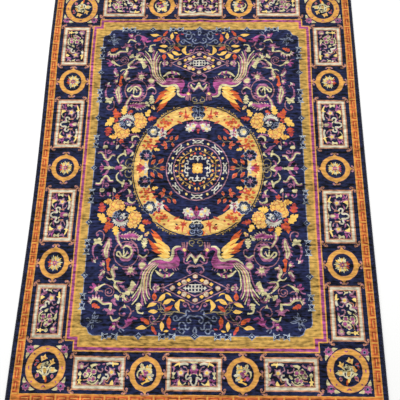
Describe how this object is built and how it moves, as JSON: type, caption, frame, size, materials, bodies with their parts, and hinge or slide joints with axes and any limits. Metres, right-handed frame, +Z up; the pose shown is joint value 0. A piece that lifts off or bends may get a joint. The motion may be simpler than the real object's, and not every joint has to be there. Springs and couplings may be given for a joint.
{
  "type": "hand-knotted rug",
  "caption": "Flat rectangular hand-knotted pile rug with an overcast cord along each long side, lying on a floor with a low fold ridge at one end.",
  "frame": {"origin": "on the floor under the middle of the rug's bounding box", "axes": "+Y along the rug's length to the end with the fold ridge, +X across its width, +Z up out of the pile"},
  "size_m": [2.74, 3.74, 0.03],
  "materials": {
    "pile": "clipped wool pile, deep navy ground with gold, ivory, magenta and orange knotted design",
    "selvedge": "overcast dark navy wool cord"
  },
  "bodies": {
    "root": {"knotted_cloth": "pile", "selvedge_left": "selvedge", "selvedge_right": "selvedge"}
  },
  "joints": []
}
